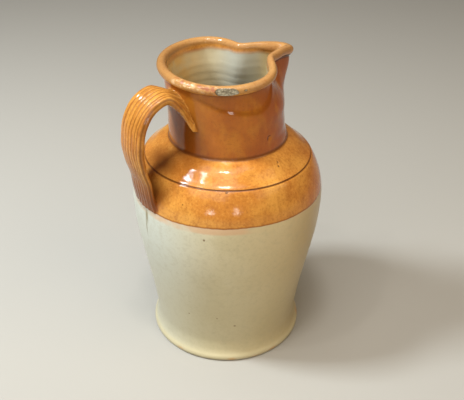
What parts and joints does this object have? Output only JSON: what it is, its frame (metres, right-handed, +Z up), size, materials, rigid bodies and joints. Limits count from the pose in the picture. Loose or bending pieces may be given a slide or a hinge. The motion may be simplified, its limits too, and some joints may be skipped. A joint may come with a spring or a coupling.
{
  "type": "stoneware jug",
  "caption": "Glazed stoneware jug with a round body, a straight wide neck, a pinched pouring spout, a rolled rim and a reeded strap handle.",
  "frame": {"origin": "centre of the flat underside, on the surface that the jug stands on", "axes": "+Z up along the jug's axis, +X towards the spout, the handle on the -X side, and the plane Y = 0 through both"},
  "size_m": [0.209, 0.1952, 0.3131],
  "materials": {
    "glazed_stoneware": "gloss glaze, warm brown above and pale grey-cream below"
  },
  "bodies": {
    "root": {"jug": "glazed_stoneware"}
  },
  "joints": []
}
